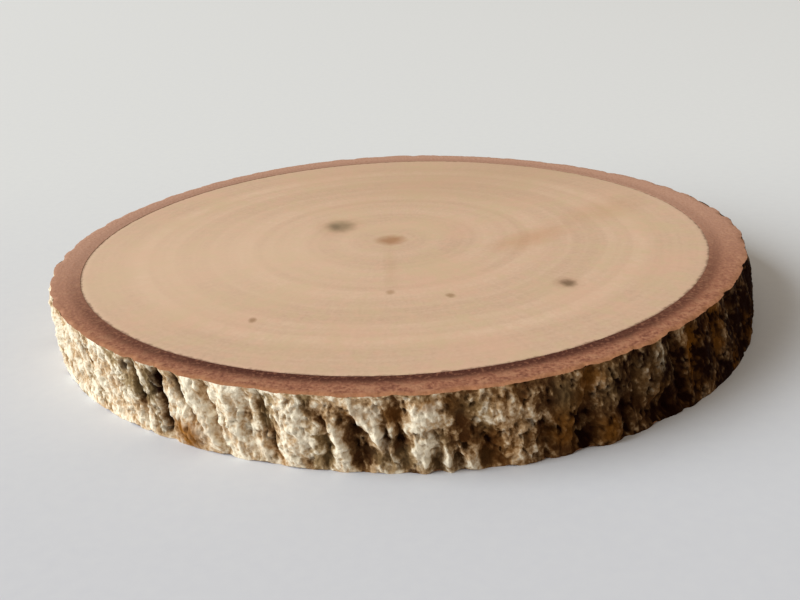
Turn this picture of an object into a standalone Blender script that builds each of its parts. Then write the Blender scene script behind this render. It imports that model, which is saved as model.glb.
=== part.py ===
"""A wood slice: a crosscut of a small branch with its bark still on, lying on its lower sawn face.

The cut is a little askew to the branch, so the slice's sides lean. Metres, +Z up. The origin is at
the middle of the lower face. A bearing is an angle round the slice in degrees, anticlockwise from
+X as seen from above, so the front is at -90.
"""

import math
import random
from typing import NamedTuple

import bmesh
import bpy
from mathutils import Vector, noise

MM = 0.001

# The slice as a whole. The bark's radius is the mean over its ridges and furrows
THICKNESS = 10.0 * MM
BARK_RADIUS = 50.0 * MM
WOOD_RADIUS = 45.65 * MM
SEAM_GAP = 0.3 * MM  # between the wood and the bark, which in nature have grown together
WOOD_OFFSET = Vector((-0.5 * MM, -0.05 * MM))  # the bark is thicker on the right
LOWER_FACE_SHIFT = Vector((1.0 * MM, -0.3 * MM))  # how far the skew cut moves the lower face


class Wave(NamedTuple):
    """A slow wave in the outline: how many go round, how high they are, and where one crests."""

    count: int
    height: float
    crest: float


OUTLINE_WAVES = (Wave(3, 0.25 * MM, 7), Wave(4, 0.55 * MM, 6))
# What the lower face has less of than the upper face
LOWER_FACE_WAVES = (Wave(2, 0.40 * MM, 45), Wave(3, 0.85 * MM, 18))
WOOD_WAVE_SHARE = 0.3  # the wood under the bark is rounder than the bark


class Relief(NamedTuple):
    """A furrow or a swelling of the bark, with its middle's place and its sizes in mm.

    It leans to the right on its way down, in degrees.
    """

    bearing: float
    height: float
    width: float
    length: float
    rise: float
    lean: float


# Furrows between the bark's plates, along the front from left to right
FURROWS = (
    Relief(-144.0, 6.0, 1.2, 12.0, 0.4, 0),
    Relief(-136.5, 4.0, 1.1, 9.0, 0.5, 6),
    Relief(-130.3, 6.0, 1.1, 14.0, 0.8, 0),
    Relief(-125.6, 5.0, 1.4, 16.0, 1.2, 0),
    Relief(-121.5, 7.6, 1.3, 7.0, 0.8, 14),
    Relief(-116.5, 5.0, 0.9, 13.0, 0.8, 4),
    Relief(-111.2, 6.0, 1.4, 9.0, 0.5, 0),
    Relief(-108.7, 4.5, 1.6, 16.0, 0.8, 3),
    Relief(-101.0, 3.0, 1.1, 9.0, 0.9, 0),
    Relief(-96.9, 3.3, 2.7, 7.5, 1.6, 4),
    Relief(-93.5, 3.8, 1.2, 6.5, 0.9, 0),
    Relief(-91.3, 5.0, 1.7, 16.0, 1.0, 0),
    Relief(-87.1, 1.0, 1.5, 5.5, 1.3, 0),
    Relief(-84.7, 0.3, 1.9, 4.5, 1.3, 0),
    Relief(-83.0, 7.0, 2.0, 10.0, 0.8, 2),
    Relief(-80.7, 2.0, 3.4, 7.0, 1.1, 10),
    Relief(-73.2, 1.0, 1.3, 9.0, 1.0, 0),
    Relief(-67.6, 1.6, 3.1, 7.5, 1.6, 0),
    Relief(-66.5, 8.0, 1.2, 7.0, 0.8, -6),
    Relief(-61.1, 2.2, 1.4, 7.5, 1.2, 0),
    Relief(-58.6, 6.5, 1.2, 9.0, 0.8, -3),
    Relief(-54.7, 0.8, 5.1, 5.5, 1.4, 0),
    Relief(-50.0, 5.0, 1.5, 16.0, 1.2, 3),
)
# Plates and knobs that stand out between them
SWELLINGS = (
    Relief(-121.3, 1.8, 3.4, 4.5, 0.5, 0),
    Relief(-118.6, 5.4, 2.7, 12.0, 0.5, 18),
    Relief(-113.6, 5.4, 2.0, 12.0, 0.6, 0),
    Relief(-105.0, 5.0, 2.6, 12.0, 0.6, -4),
    Relief(-99.2, 3.3, 1.4, 7.0, 0.6, 8),
    Relief(-95.5, 6.4, 1.8, 9.0, 0.7, 26),
    Relief(-88.6, 5.0, 3.2, 14.0, 0.5, 0),
    Relief(-86.1, 1.4, 1.0, 4.5, 0.8, 0),
    Relief(-83.3, 1.2, 1.4, 1.9, 0.8, 0),
    Relief(-76.3, 5.0, 4.6, 14.0, 0.4, 0),
    Relief(-69.8, 6.4, 3.2, 8.0, 0.5, 8),
    Relief(-63.8, 1.9, 2.8, 5.0, 0.8, 0),
    Relief(-62.6, 7.4, 4.4, 7.0, 0.5, 0),
    Relief(-54.8, 6.8, 6.0, 8.5, 0.5, 0),
)

# The rest of the bark is drawn at random, with the same kinds of forms
REST_SEED = 11
REST_START = -46.0
REST_END = -147.0 + 360.0
REST_STEP = (4.2, 8.0)
REST_HEIGHT = (2.5, 7.5)
REST_FURROW_WIDTH = (1.0, 2.0)
REST_FURROW_LENGTH = (8.0, 18.0)
REST_FURROW_DEPTH = (0.4, 0.9)
REST_PLATE_LENGTH = (6.0, 14.0)
REST_PLATE_RISE = (0.3, 0.7)
REST_LEAN = (-8.0, 14.0)
PLATE_SHARE = 0.5  # of the way to the next furrow that a plate's swelling takes up

# The noise that bends the forms and roughens the plates
BEND = 0.45 * MM
BEND_PITCH = 3.6 * MM
ROUGHNESS = 0.30 * MM
ROUGHNESS_PITCH = 2.6 * MM
ROUGHNESS_STRETCH = 2.2  # along the branch
BEND_START = Vector((5.3, 1.9, 4.4))  # places in the noise that are read
ROUGHNESS_START = Vector((11.5, 2.3, 8.9))
PLATE_LEVEL = 0.15 * MM  # of the plates over the mean radius
RIM_SHARE = 0.38  # of the relief that is left at the upper rim, which is worn smoother
RIM_DROP = 2.0 * MM  # how far down from the rim the relief is full
FOOT_SHARE = 0.45  # of the relief that is left at the foot
FOOT_RISE = 2.0 * MM  # how far up from the foot the relief is full

# Where the bark's section is drawn before it is shaped: its seam and its outer surface
SEAM_REACH = 1.0
OUTER_REACH = 2.0

# How finely the faces are divided
BARK_COLUMNS = 480
BARK_LEVELS = 8
WOOD_COLUMNS = 120


def wave_sum(waves, bearing):
    """The height of a set of waves at one bearing."""
    return sum(wave.height * math.cos(wave.count * math.radians(bearing - wave.crest)) for wave in waves)


def rest_of_bark():
    """Furrows and plates for the part of the bark that the front's lists leave out."""
    draw = random.Random(REST_SEED)
    furrows = []
    plates = []
    bearing = REST_START
    while bearing < REST_END:
        lean = draw.uniform(*REST_LEAN)
        height = draw.uniform(*REST_HEIGHT)
        width = draw.uniform(*REST_FURROW_WIDTH)
        depth = draw.uniform(*REST_FURROW_DEPTH)
        furrows.append(Relief(bearing, height, width, draw.uniform(*REST_FURROW_LENGTH), depth, lean))
        step = draw.uniform(*REST_STEP)
        plate_width = PLATE_SHARE * math.radians(step) * BARK_RADIUS / MM
        plate_length = draw.uniform(*REST_PLATE_LENGTH)
        rise = draw.uniform(*REST_PLATE_RISE)
        plates.append(Relief(bearing + step / 2, height, plate_width, plate_length, rise, lean))
        bearing += step
    return tuple(furrows), tuple(plates)


def form_height(form, bearing, height):
    """How far one furrow goes in, or one swelling stands out, at a place on the bark."""
    above = height - form.height * MM
    turn = (bearing - form.bearing + 180.0) % 360.0 - 180.0
    across = math.radians(turn) * BARK_RADIUS + math.tan(math.radians(form.lean)) * above
    side = 2.0 * across / (form.width * MM)
    end = 2.0 * above / (form.length * MM)
    return form.rise * MM * math.exp(-(side**2) - end**4)


def worn_share(height):
    """The share of the relief that is left at one height, as both rims are worn smoother."""
    below = min(1.0, (THICKNESS - height) / RIM_DROP)
    above = min(1.0, height / FOOT_RISE)
    upper = RIM_SHARE + (1.0 - RIM_SHARE) * below * (2.0 - below)
    lower = FOOT_SHARE + (1.0 - FOOT_SHARE) * above * (2.0 - above)
    return upper * lower


def noise_at(bearing, height, pitch, start, stretch):
    """Noise on the bark's surface, with features of about the given pitch, drawn out along the branch."""
    turned = math.radians(bearing)
    place = Vector((math.cos(turned) * BARK_RADIUS, math.sin(turned) * BARK_RADIUS, height / stretch))
    return noise.noise(place / pitch + start)


def bark_relief(furrows, swellings, bearing, height):
    """How far the bark stands out from its mean radius at one place."""
    bend = BEND * noise_at(bearing, height, BEND_PITCH, BEND_START, 1.0)
    bent = bearing + math.degrees(bend / BARK_RADIUS)
    furrow = max(form_height(form, bent, height) for form in furrows)
    swelling = max(form_height(form, bent, height) for form in swellings)
    rough = ROUGHNESS * noise_at(bearing, height, ROUGHNESS_PITCH, ROUGHNESS_START, ROUGHNESS_STRETCH)
    return PLATE_LEVEL + worn_share(height) * (rough + swelling - furrow)


def face_centre(height):
    """Where the middle of the slice lies at one height, as the skew cut moves it."""
    return LOWER_FACE_SHIFT * (0.5 - height / THICKNESS)


def outline_swell(bearing, height):
    """How far the slow waves move the slice's outline out at one bearing and height."""
    depth = 1.0 - height / THICKNESS
    return wave_sum(OUTLINE_WAVES, bearing) - depth * wave_sum(LOWER_FACE_WAVES, bearing)


def point_at(centre, radius, bearing, height):
    """The point at a radius and bearing from a centre in the plane."""
    turned = math.radians(bearing)
    return Vector((centre.x + radius * math.cos(turned), centre.y + radius * math.sin(turned), height))


def seam_point(bearing, height, gap):
    """A point of the seam between wood and bark, moved outwards by a gap."""
    radius = WOOD_RADIUS + WOOD_WAVE_SHARE * outline_swell(bearing, height) + gap
    return point_at(face_centre(height) + WOOD_OFFSET, radius, bearing, height)


def make_material(name, colour, roughness):
    """A plain finish in one colour, given as linear red, green and blue."""
    material = bpy.data.materials.new(name)
    material.use_nodes = True
    shader = material.node_tree.nodes["Principled BSDF"]
    shader.inputs["Base Color"].default_value = (*colour, 1.0)
    shader.inputs["Roughness"].default_value = roughness
    shader.inputs["Metallic"].default_value = 0.0
    return material


def make_object(name, built, material, collection):
    """Puts a finished bmesh in the scene as one named object."""
    mesh = bpy.data.meshes.new(name)
    built.to_mesh(mesh)
    built.free()
    mesh.materials.append(material)
    part = bpy.data.objects.new(name, mesh)
    collection.objects.link(part)
    return part


def bearing_of(vertex):
    """The bearing of a vertex before it is moved to its place."""
    return math.degrees(math.atan2(vertex.co.y, vertex.co.x))


def build_wood(collection):
    """The sawn wood inside the bark: a cylinder whose rims follow the seam."""
    built = bmesh.new()
    bmesh.ops.create_cone(
        built, cap_ends=True, segments=WOOD_COLUMNS, radius1=WOOD_RADIUS, radius2=WOOD_RADIUS, depth=THICKNESS
    )
    for vertex in built.verts:
        height = THICKNESS if vertex.co.z > 0.0 else 0.0
        vertex.co = seam_point(bearing_of(vertex), height, 0.0)
    finish = make_material("sanded_wood", (0.62, 0.42, 0.27), 0.55)
    return make_object("wood", built, finish, collection)


def bark_section(built):
    """The bark's cut section as a loop of edges, not yet in its place."""
    outer = [(OUTER_REACH, THICKNESS * level / BARK_LEVELS) for level in range(BARK_LEVELS, -1, -1)]
    corners = [(SEAM_REACH, 0.0), (SEAM_REACH, THICKNESS), *outer]
    loop = [built.verts.new((reach, 0.0, height)) for reach, height in corners]
    return loop, [built.edges.new((loop[i - 1], loop[i])) for i in range(len(loop))]


def build_bark(collection):
    """The ring of bark, spun from its section and then shaped into plates and furrows."""
    rest_furrows, rest_plates = rest_of_bark()
    furrows = FURROWS + rest_furrows
    swellings = SWELLINGS + rest_plates
    built = bmesh.new()
    loop, edges = bark_section(built)
    bmesh.ops.spin(built, geom=loop + edges, axis=(0, 0, 1), angle=math.tau, steps=BARK_COLUMNS, use_merge=True)
    for vertex in built.verts:
        bearing = bearing_of(vertex)
        height = vertex.co.z
        if vertex.co.xy.length < (SEAM_REACH + OUTER_REACH) / 2:
            vertex.co = seam_point(bearing, height, SEAM_GAP)
            continue
        radius = BARK_RADIUS + outline_swell(bearing, height)
        radius += bark_relief(furrows, swellings, bearing, height)
        vertex.co = point_at(face_centre(height), radius, bearing, height)
    bmesh.ops.recalc_face_normals(built, faces=built.faces)
    finish = make_material("bark", (0.33, 0.20, 0.12), 0.9)
    return make_object("bark", built, finish, collection)


def main():
    """Clears the scene and builds the slice."""
    for leftover in list(bpy.data.objects):
        bpy.data.objects.remove(leftover)
    collection = bpy.data.collections.new("wood_slice")
    bpy.context.scene.collection.children.link(collection)
    build_wood(collection)
    build_bark(collection)


main()
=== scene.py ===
"""The looks of the wood slice: sanded end grain inside a ring of rough bark, on a pale sheet.

Sizes are in metres, +Z up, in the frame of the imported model. A bearing is an angle round the
slice in degrees, anticlockwise from +X as seen from above, so the front is at -90.
"""

import logging
import math
import random
from collections.abc import Sequence
from dataclasses import dataclass
from enum import Enum
from typing import Any

import bmesh
import bpy
import numpy as np
from mathutils import Matrix, Vector, noise

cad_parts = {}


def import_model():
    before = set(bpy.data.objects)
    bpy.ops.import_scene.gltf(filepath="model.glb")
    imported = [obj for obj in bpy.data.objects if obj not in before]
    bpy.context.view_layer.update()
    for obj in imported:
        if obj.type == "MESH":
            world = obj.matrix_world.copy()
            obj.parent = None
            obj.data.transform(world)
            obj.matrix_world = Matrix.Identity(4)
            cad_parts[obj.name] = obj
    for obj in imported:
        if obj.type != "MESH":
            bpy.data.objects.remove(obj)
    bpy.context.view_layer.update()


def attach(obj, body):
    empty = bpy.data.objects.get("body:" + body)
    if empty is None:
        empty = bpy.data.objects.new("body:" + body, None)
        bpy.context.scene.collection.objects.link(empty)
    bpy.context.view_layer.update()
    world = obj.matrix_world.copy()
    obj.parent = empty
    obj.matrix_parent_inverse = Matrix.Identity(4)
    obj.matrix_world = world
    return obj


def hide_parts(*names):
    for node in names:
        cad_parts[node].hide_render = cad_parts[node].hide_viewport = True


MM = 0.001
BARK_RADIUS = 50.0 * MM
BAKE_UV = "OFBake"
# Vertices nearer than this are merged where a grid's ends or middle meet
WELD = 0.0005 * MM
# The middle about which Blender's noise textures swing
NOISE_MEAN = 0.5

Range = tuple[float, float]
Tree = bpy.types.NodeTree
Socket = bpy.types.NodeSocket

log = logging.getLogger("wood_slice")


def linear(hex_colour: str) -> tuple[float, float, float, float]:
    """Turns an sRGB hex colour into linear red, green, blue and alpha.

    Args:
        hex_colour: Six hex digits after a hash sign.

    Returns:
        The linear colour, with an alpha of 1.
    """
    shares = [int(hex_colour[i : i + 2], 16) / 255 for i in (1, 3, 5)]
    red, green, blue = (s / 12.92 if s <= 0.04045 else ((s + 0.055) / 1.055) ** 2.4 for s in shares)
    return red, green, blue, 1.0


def add_node(
    tree: Tree, kind: str, settings: dict[str, Any] | None = None, inputs: dict[str | int, Any] | None = None
) -> bpy.types.Node:
    """Adds a node, sets it up and links what feeds it.

    Args:
        tree: The material's or world's node tree.
        kind: The node's type name, without its ShaderNode prefix.
        settings: Values for the node's own properties.
        inputs: For a socket's name or number, a value or the socket that feeds it.

    Returns:
        The new node.
    """
    node = tree.nodes.new("ShaderNode" + kind)
    for name, value in (settings or {}).items():
        setattr(node, name, value)
    for name, value in (inputs or {}).items():
        if isinstance(value, bpy.types.NodeSocket):
            tree.links.new(value, node.inputs[name])
        else:
            node.inputs[name].default_value = value
    return node


def add_up(tree: Tree, start: Any, parts: Sequence[tuple[Socket, float]]) -> Socket:
    """Adds weighted values to a first one.

    Args:
        tree: The node tree.
        start: The first value, as a number or a socket.
        parts: The sockets of the values to add, each with its weight.

    Returns:
        The socket of the sum.
    """
    for value, weight in parts:
        inputs = {0: value, 1: weight, 2: start}
        start = add_node(tree, "Math", {"operation": "MULTIPLY_ADD"}, inputs).outputs[0]
    return start


def lay_tint(
    tree: Tree, colour: Any, value: Socket, reach: Range, most: Any, tint: str, curve: str = "SMOOTHSTEP"
) -> Socket:
    """Lays a tint over a colour, more of it the further a value has gone through a range.

    Args:
        tree: The material's node tree.
        colour: The colour below, as a value or a socket.
        value: The socket that decides how much of the tint shows.
        reach: The value that shows none of the tint, and the one that shows most of it.
        most: The tint's greatest share, as a number or a socket.
        tint: The tint as a hex colour.
        curve: How the share grows in between, as a kind of interpolation.

    Returns:
        The socket of the tinted colour.
    """
    inputs = {"Value": value, "From Min": reach[0], "From Max": reach[1], "To Max": most}
    share = add_node(tree, "MapRange", {"interpolation_type": curve}, inputs)
    mix = add_node(tree, "Mix", {"data_type": "RGBA"}, {0: share.outputs[0], 6: colour, 7: linear(tint)})
    return mix.outputs[2]


def smooth(values: np.ndarray, low: float, high: float) -> np.ndarray:
    """A smooth step of each value from 0 at low to 1 at high."""
    share = np.clip((values - low) / (high - low), 0.0, 1.0)
    return share * share * (3.0 - 2.0 * share)


@dataclass(frozen=True)
class Spots:
    """Places on the slice, each by its bearing and its height."""

    bearing: np.ndarray
    height: np.ndarray


class Coat(Enum):
    """The bark's coats, and its painted shade. All but bare bark are mesh attributes, with these names."""

    CRUST = "crust"
    CREST = "crest"
    # Painted shade, towards near black, in furrows, hollows, gaps and on the side away from the light
    PAINTED_SHADE = "painted_shade"
    AMBER = "amber"
    MOSS = "moss"
    BARE = "bare"


@dataclass(frozen=True)
class Form:
    """An oval place on the bark: a furrow, a swelling, or a patch of one coat.

    It leans to the right on its way down, in degrees. Its sizes are in mm.
    """

    bearing: float
    height: float
    width: float
    length: float
    rise: float = 1.0
    lean: float = 0.0

    def cover(self, spots: Spots) -> np.ndarray:
        """How strongly the form shows.

        Args:
            spots: Places on the bark.

        Returns:
            For each place its rise at the form's middle, falling to 0 outside it.
        """
        above = spots.height - self.height * MM
        turn = (spots.bearing - self.bearing + 180.0) % 360.0 - 180.0
        across = np.radians(turn) * BARK_RADIUS + math.tan(math.radians(self.lean)) * above
        side = 2.0 * across / (self.width * MM)
        end = 2.0 * above / (self.length * MM)
        return self.rise * np.exp(-(side**2) - end**4)


def strongest(forms: Sequence[Form], spots: Spots) -> np.ndarray:
    """How strongly the strongest of the forms shows at each place."""
    return np.maximum.reduce([np.zeros_like(spots.bearing), *(form.cover(spots) for form in forms)])


@dataclass(frozen=True)
class Wave:
    """A slow wave in the outline: how many go round, how high they are, and where one crests."""

    count: int
    height: float
    crest: float

    def level(self, bearing: np.ndarray) -> np.ndarray:
        """How high the wave is at each bearing."""
        return self.height * np.cos(self.count * np.radians(bearing - self.crest))


@dataclass(frozen=True)
class SliceShape:
    """The slice's smooth outline, before the bark is carved."""

    thickness: float = 10.0 * MM
    seam_radius: float = 45.80 * MM
    wood_offset: tuple[float, float] = (-0.5 * MM, -0.05 * MM)
    lower_face_shift: tuple[float, float] = (1.0 * MM, -0.3 * MM)
    outline_waves: tuple[Wave, ...] = (Wave(3, 0.25 * MM, 7), Wave(4, 0.55 * MM, 6))
    lower_face_waves: tuple[Wave, ...] = (Wave(2, 0.40 * MM, 45), Wave(3, 0.85 * MM, 18))
    wood_wave_share: float = 0.3

    def swell(self, spots: Spots) -> np.ndarray:
        """How far the slow waves move the outline out.

        Args:
            spots: Places on the slice.

        Returns:
            The way out at each place.
        """
        depth = 1.0 - spots.height / self.thickness
        upper = sum(wave.level(spots.bearing) for wave in self.outline_waves)
        lower = sum(wave.level(spots.bearing) for wave in self.lower_face_waves)
        return upper - depth * lower

    def centre(self, height: np.ndarray) -> np.ndarray:
        """The middle of the slice at each height, which the skew cut moves."""
        share = 0.5 - height / self.thickness
        return share[:, None] * np.array(self.lower_face_shift)

    def seam(self, spots: Spots, inset: np.ndarray | float = 0.0) -> np.ndarray:
        """Points on the seam between wood and bark, or inside it.

        Args:
            spots: Places on the slice.
            inset: How far inside the seam the points are, as a share of the wood's radius.

        Returns:
            X, Y and Z for each point.
        """
        radius = (self.seam_radius + self.wood_wave_share * self.swell(spots)) * (1.0 - inset)
        return self.place(self.centre(spots.height) + np.array(self.wood_offset), radius, spots)

    def outside(self, spots: Spots, rise: np.ndarray) -> np.ndarray:
        """Points of the bark's outer surface, each with its own rise over the smooth outline."""
        return self.place(self.centre(spots.height), BARK_RADIUS + self.swell(spots) + rise, spots)

    @staticmethod
    def place(centre: np.ndarray, radius: np.ndarray, spots: Spots) -> np.ndarray:
        """Points at a radius from their centres.

        Args:
            centre: X and Y of the centre for each point.
            radius: The radius for each point.
            spots: The points' bearings and heights.

        Returns:
            X, Y and Z for each point.
        """
        turned = np.radians(spots.bearing)
        across = centre[:, 0] + radius * np.cos(turned)
        return np.column_stack((across, centre[:, 1] + radius * np.sin(turned), spots.height))


FURROWS = (
    Form(-144.0, 6.0, 1.2, 12.0, 0.4), Form(-136.5, 4.0, 1.1, 9.0, 0.5, 6),
    Form(-130.3, 6.0, 1.1, 14.0, 0.8), Form(-125.6, 5.0, 1.4, 16.0, 1.2),
    Form(-121.5, 7.6, 1.3, 7.0, 0.8, 14), Form(-116.5, 5.0, 0.9, 13.0, 0.8, 4),
    Form(-111.2, 6.0, 1.4, 9.0, 0.5), Form(-108.7, 4.5, 1.6, 16.0, 0.8, 3),
    Form(-101.0, 3.0, 1.1, 9.0, 0.9), Form(-96.9, 3.3, 2.7, 7.5, 1.6, 4), Form(-93.5, 3.8, 1.2, 6.5, 0.9),
    Form(-91.3, 5.0, 1.7, 16.0, 1.0), Form(-87.1, 1.0, 1.5, 5.5, 1.3), Form(-84.7, 0.3, 1.9, 4.5, 1.3),
    Form(-83.0, 7.0, 2.0, 10.0, 0.8, 2), Form(-80.7, 2.0, 3.4, 7.0, 1.1, 10),
    Form(-73.2, 1.0, 1.3, 9.0, 1.0), Form(-67.6, 1.6, 3.1, 7.5, 1.6), Form(-66.5, 8.0, 1.2, 7.0, 0.8, -6),
    Form(-61.1, 2.2, 1.4, 7.5, 1.2), Form(-58.6, 6.5, 1.2, 9.0, 0.8, -3), Form(-54.7, 0.8, 5.1, 5.5, 1.4),
    Form(-50.0, 5.0, 1.5, 16.0, 1.2, 3),
)
SWELLINGS = (
    Form(-121.3, 1.8, 3.4, 4.5, 0.5), Form(-118.6, 5.4, 2.7, 12.0, 0.5, 18),
    Form(-113.6, 5.4, 2.0, 12.0, 0.6), Form(-105.0, 5.0, 2.6, 12.0, 0.6, -4),
    Form(-99.2, 3.3, 1.4, 7.0, 0.6, 8), Form(-95.5, 6.4, 1.8, 9.0, 0.7, 26),
    Form(-88.6, 5.0, 3.2, 14.0, 0.5), Form(-86.1, 1.4, 1.0, 4.5, 0.8), Form(-83.3, 1.2, 1.4, 1.9, 0.8),
    Form(-76.3, 5.0, 4.6, 14.0, 0.4), Form(-69.8, 6.4, 3.2, 8.0, 0.5, 8), Form(-63.8, 1.9, 2.8, 5.0, 0.8),
    Form(-62.6, 7.4, 4.4, 7.0, 0.5), Form(-54.8, 6.8, 6.0, 8.5, 0.5),
)
# Places on the front where one coat is plain to see
PATCHES: dict[Coat, tuple[Form, ...]] = {
    Coat.CRUST: (
        Form(-139.0, 8.4, 3.4, 3.0, 0.6), Form(-138.5, 4.4, 2.2, 7.0, 0.6, 25),
        Form(-129.0, 1.8, 2.8, 2.6, 0.4), Form(-118.4, 5.4, 3.0, 9.0, 0.8, 18),
        Form(-113.6, 5.2, 2.2, 10.0, 0.9), Form(-105.2, 4.8, 2.6, 10.0, 0.8, -4),
        Form(-103.2, 3.0, 2.4, 4.0, 0.7), Form(-101.3, 8.9, 0.9, 1.6, 0.9, 10),
        Form(-99.2, 3.2, 1.4, 6.0, 0.9, 8), Form(-95.6, 6.3, 1.8, 8.0, 0.9, 26),
        Form(-88.8, 4.2, 3.6, 9.0, 0.8), Form(-86.5, 7.4, 1.4, 4.0, 0.8), Form(-86.1, 1.4, 0.9, 4.0, 0.9),
        Form(-83.3, 1.2, 1.2, 1.6, 0.5), Form(-80.4, 6.2, 1.6, 6.0, 0.5), Form(-76.4, 4.6, 3.6, 11.0, 0.12),
        Form(-54.8, 6.8, 5.6, 4.6, 0.85), Form(-72.9, 3.0, 0.9, 6.0, 0.8),
    ),
    Coat.BARE: (
        Form(-142.0, 7.2, 1.1, 4.4, 0.6, 25), Form(-134.5, 7.4, 2.4, 4.0, 0.5, 10),
        Form(-130.4, 7.2, 4.6, 5.6, 0.45), Form(-127.2, 4.4, 4.2, 8.0, 0.5),
        Form(-121.4, 7.4, 1.8, 5.0, 0.6, 14), Form(-122.0, 1.7, 4.2, 3.6, 0.4),
        Form(-101.4, 6.0, 3.2, 9.0, 0.6), Form(-109.2, 4.5, 3.0, 12.0, 0.5, 3),
        Form(-97.8, 7.8, 3.6, 4.0, 0.9), Form(-91.3, 5.0, 2.4, 14.0, 0.7),
        Form(-83.2, 6.2, 3.2, 8.0, 0.6, 2), Form(-80.0, 2.6, 4.0, 6.0, 0.6, 8),
        Form(-70.5, 5.0, 3.4, 11.0, 0.7), Form(-64.0, 4.6, 8.0, 12.0, 0.5),
    ),
    # Patches of painted shade, where hollows and furrows lie in shade
    Coat.PAINTED_SHADE: (
        Form(-144.2, 8.0, 1.2, 3.0, 0.5), Form(-132.2, 8.8, 1.6, 1.8, 0.6),
        Form(-130.2, 7.2, 1.0, 4.4, 0.6), Form(-130.3, 4.6, 0.8, 3.0, 0.5),
        Form(-126.1, 7.2, 2.0, 4.6, 0.9), Form(-125.5, 3.4, 1.6, 4.4, 0.9),
        Form(-127.4, 4.6, 3.6, 7.0, 0.3), Form(-121.9, 8.2, 1.2, 3.0, 0.7),
        Form(-102.4, 8.5, 0.9, 1.2, 0.5), Form(-96.8, 3.2, 1.8, 4.4, 0.35), Form(-93.3, 3.8, 1.2, 3.6, 0.6),
        Form(-87.2, 1.0, 1.2, 2.4, 0.7), Form(-84.7, 0.5, 1.6, 2.6, 0.6), Form(-80.7, 1.4, 2.4, 3.4, 0.3),
        Form(-73.3, 1.0, 0.9, 3.0, 0.6), Form(-67.6, 1.7, 3.2, 7.0, 1.0), Form(-61.1, 2.4, 1.8, 7.0, 1.0),
        Form(-54.7, 0.9, 7.0, 4.4, 1.0), Form(-40.0, 4.0, 4.0, 9.0, 1.0),
    ),
    Coat.AMBER: (
        Form(-122.2, 1.7, 4.3, 3.8, 1.2), Form(-97.0, 8.0, 2.4, 2.0, 0.3), Form(-87.6, 8.6, 2.0, 1.4, 0.6),
        Form(-79.0, 4.5, 7.0, 11.0, 0.22), Form(-69.6, 3.4, 2.8, 4.0, 0.15),
        Form(-64.0, 1.8, 2.6, 3.4, 0.8), Form(-46.5, 5.0, 3.4, 9.0, 0.7),
    ),
    Coat.MOSS: (
        Form(-144.4, 8.4, 1.6, 2.6, 0.8), Form(-131.0, 7.6, 5.0, 5.0, 0.8),
        Form(-127.6, 5.4, 1.6, 7.0, 0.6), Form(-121.6, 7.0, 1.6, 5.0, 0.6, 14),
        Form(-107.2, 7.6, 2.0, 3.4, 0.6), Form(-80.6, 6.6, 2.4, 4.4, 0.8), Form(-69.8, 7.0, 3.0, 4.6, 0.8),
        Form(-62.8, 7.2, 4.4, 5.0, 0.6), Form(-54.8, 6.8, 6.2, 5.4, 1.0),
    ),
}


@dataclass(frozen=True)
class RestOfBark:
    """Furrows and plates drawn at random for the back and the sides, where the lists above have none."""

    seed: int = 11
    start: float = -46.0
    end: float = -147.0 + 360.0
    step: Range = (4.2, 8.0)
    height: Range = (2.5, 7.5)
    furrow_width: Range = (1.0, 2.0)
    furrow_length: Range = (8.0, 18.0)
    furrow_depth: Range = (0.4, 0.9)
    plate_length: Range = (6.0, 14.0)
    plate_rise: Range = (0.3, 0.7)
    lean: Range = (-8.0, 14.0)
    plate_share: float = 0.5

    def draw(self) -> tuple[tuple[Form, ...], tuple[Form, ...]]:
        """Draws the forms in turn round the slice.

        Returns:
            The furrows and the plates.
        """
        rng = random.Random(self.seed)
        furrows: list[Form] = []
        plates: list[Form] = []
        bearing = self.start
        while bearing < self.end:
            lean = rng.uniform(*self.lean)
            height = rng.uniform(*self.height)
            width = rng.uniform(*self.furrow_width)
            depth = rng.uniform(*self.furrow_depth)
            furrows.append(Form(bearing, height, width, rng.uniform(*self.furrow_length), depth, lean))
            step = rng.uniform(*self.step)
            plate_width = self.plate_share * math.radians(step) * BARK_RADIUS / MM
            plate_length = rng.uniform(*self.plate_length)
            rise = rng.uniform(*self.plate_rise)
            plates.append(Form(bearing + step / 2, height, plate_width, plate_length, rise, lean))
            bearing += step
        return tuple(furrows), tuple(plates)


@dataclass(frozen=True)
class NoiseField:
    """Noise on the bark's surface. The stretch draws its features out along the branch.

    Rough noise adds finer layers. A cell's lot is read at its middle, moved so that neighbours differ.
    """

    pitch: float
    start: tuple[float, float, float]
    stretch: float = 1.0
    fade: float = 0.55
    finer: float = 2.0
    layers: int = 3
    lot_spread: float = 7.31

    def places(self, spots: Spots) -> list[Vector]:
        """Where in the noise each place is read.

        Args:
            spots: Places on the bark.

        Returns:
            A point in the noise for each place.
        """
        turned = np.radians(spots.bearing)
        round_bark = np.column_stack((np.cos(turned), np.sin(turned))) * BARK_RADIUS
        points = np.column_stack((round_bark, spots.height / self.stretch))
        return [Vector(point) for point in points / self.pitch + np.array(self.start)]

    def level(self, spots: Spots) -> np.ndarray:
        """Smooth noise about 0 at each place."""
        return np.array([noise.noise(place) for place in self.places(spots)])

    def rough(self, spots: Spots) -> np.ndarray:
        """Noise about 0 at each place, with finer layers that are nearly as strong."""
        places = self.places(spots)
        return np.array([noise.fractal(place, self.fade, self.finer, self.layers) for place in places])

    def cells(self, spots: Spots) -> tuple[np.ndarray, np.ndarray]:
        """Reads cells about scattered middles.

        Args:
            spots: Places on the bark.

        Returns:
            The distance to the nearest middle, and that cell's lot, a random number from 0 to 1.
        """
        found = [noise.voronoi(place) for place in self.places(spots)]
        nearest = np.array([distances[0] for distances, _ in found])
        lots = np.array([noise.cell(middles[0] * self.lot_spread) for _, middles in found])
        return nearest, lots


@dataclass
class BarkSurface:
    """The bark's rise over the smooth outline, and how much of each coat it carries, at many places."""

    rise: np.ndarray
    coats: dict[Coat, np.ndarray]


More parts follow.
